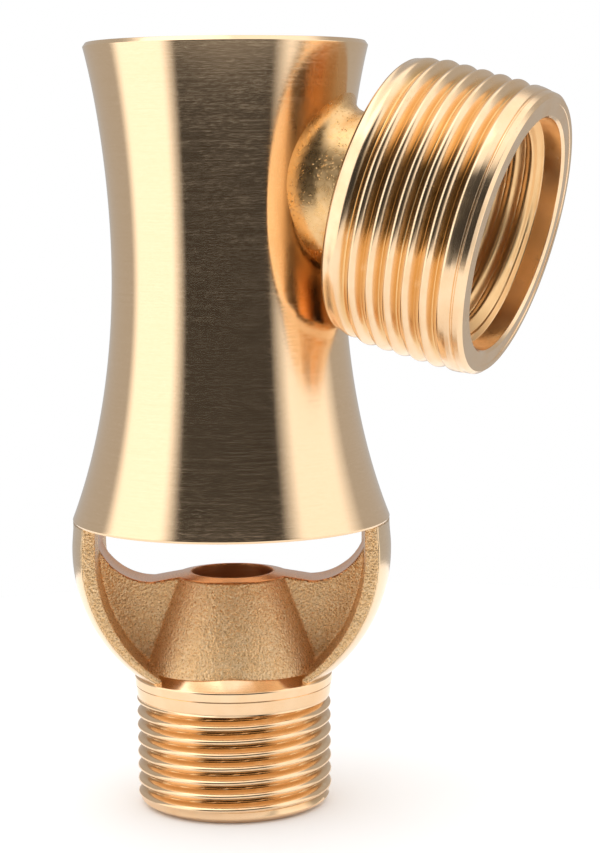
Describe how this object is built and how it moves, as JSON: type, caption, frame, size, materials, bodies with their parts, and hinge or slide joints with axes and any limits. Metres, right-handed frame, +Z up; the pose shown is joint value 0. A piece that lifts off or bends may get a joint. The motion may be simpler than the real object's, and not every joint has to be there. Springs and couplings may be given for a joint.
{
  "type": "water pressure regulator",
  "caption": "Brass water pressure regulator with a swivel side inlet collar, waisted body, open air-gap yoke and male threaded outlet.",
  "frame": {"origin": "centre of the bounding box's bottom face, on the surface the outlet end stands on; the body axis is vertical at x -11.93 mm, y +5.24 mm", "axes": "+Z up along the body axis from the outlet end to the cap end; the inlet port leaves towards +X, 22.0 degrees towards -Y and 15.6 degrees downward"},
  "size_m": [0.0668, 0.0534, 0.1024],
  "materials": {
    "cast_brass": "sand cast, polished outside, turned top and thread",
    "brushed_brass": "turned and fine brushed, satin",
    "polished_brass": "polished, rounded ridges",
    "turned_brass": "turned",
    "stainless": "turned stainless steel",
    "spring_steel": "drawn spring wire",
    "screen_steel": "woven wire",
    "seal_rubber": "matt black",
    "washer_rubber": "matt black",
    "acetal": "machined white acetal",
    "ptfe": "smooth white",
    "sintered_bronze": "porous sintered bronze"
  },
  "bodies": {
    "body": {"outlet_yoke": "cast_brass", "body_sleeve": "brushed_brass", "vent_filter": "sintered_bronze", "top_cap": "turned_brass", "cap_o_ring": "seal_rubber", "screw_o_ring": "seal_rubber", "lock_nut": "stainless", "main_spring": "spring_steel", "guide_plate": "turned_brass", "guide_plate_o_ring": "seal_rubber", "stem_o_ring": "seal_rubber", "guide_plate_circlip": "spring_steel", "nozzle_plate": "turned_brass", "nozzle_o_ring": "seal_rubber", "inlet_neck": "turned_brass", "collar_slip_washer": "ptfe", "hose_washer": "washer_rubber", "strainer_screen": "screen_steel"},
    "collar": {"swivel_collar": "polished_brass"},
    "seat": {"seat_carrier": "turned_brass", "carrier_retaining_ring": "spring_steel", "seat_disc": "seal_rubber", "seat_screw": "stainless"},
    "adjuster": {"adjusting_screw": "stainless"},
    "piston": {"piston_stem": "stainless", "piston_head": "acetal", "piston_o_ring": "seal_rubber", "stem_nut": "stainless", "spring_washer": "stainless"}
  },
  "joints": [
    {"name": "collar_spin", "type": "hinge", "parent": "body", "child": "collar", "pos_m": [-0.01193, 0.00524, 0.08836], "axis": [0.893, -0.3612, -0.2684], "continuous": true},
    {"name": "seat_carrier_slide", "type": "slide", "parent": "body", "child": "seat", "axis": [0, 0, 1], "range_m": [-0.0006, 0.0006]},
    {"name": "adjusting_screw_turn", "type": "hinge", "parent": "seat", "child": "adjuster", "pos_m": [-0.01193, 0.00524, 0.09], "axis": [0, 0, 1], "range_deg": [-270, 270]},
    {"name": "piston_slide", "type": "slide", "parent": "body", "child": "piston", "axis": [0, 0, 1], "range_m": [0, 0.0016], "stiffness_N_per_m": 15500, "springref_m": -0.0002, "deforming": ["main_spring"]}
  ],
  "couplings": [
    {"joint": "adjusting_screw_turn", "follows": "seat_carrier_slide", "rad_per_m": 7854}
  ]
}
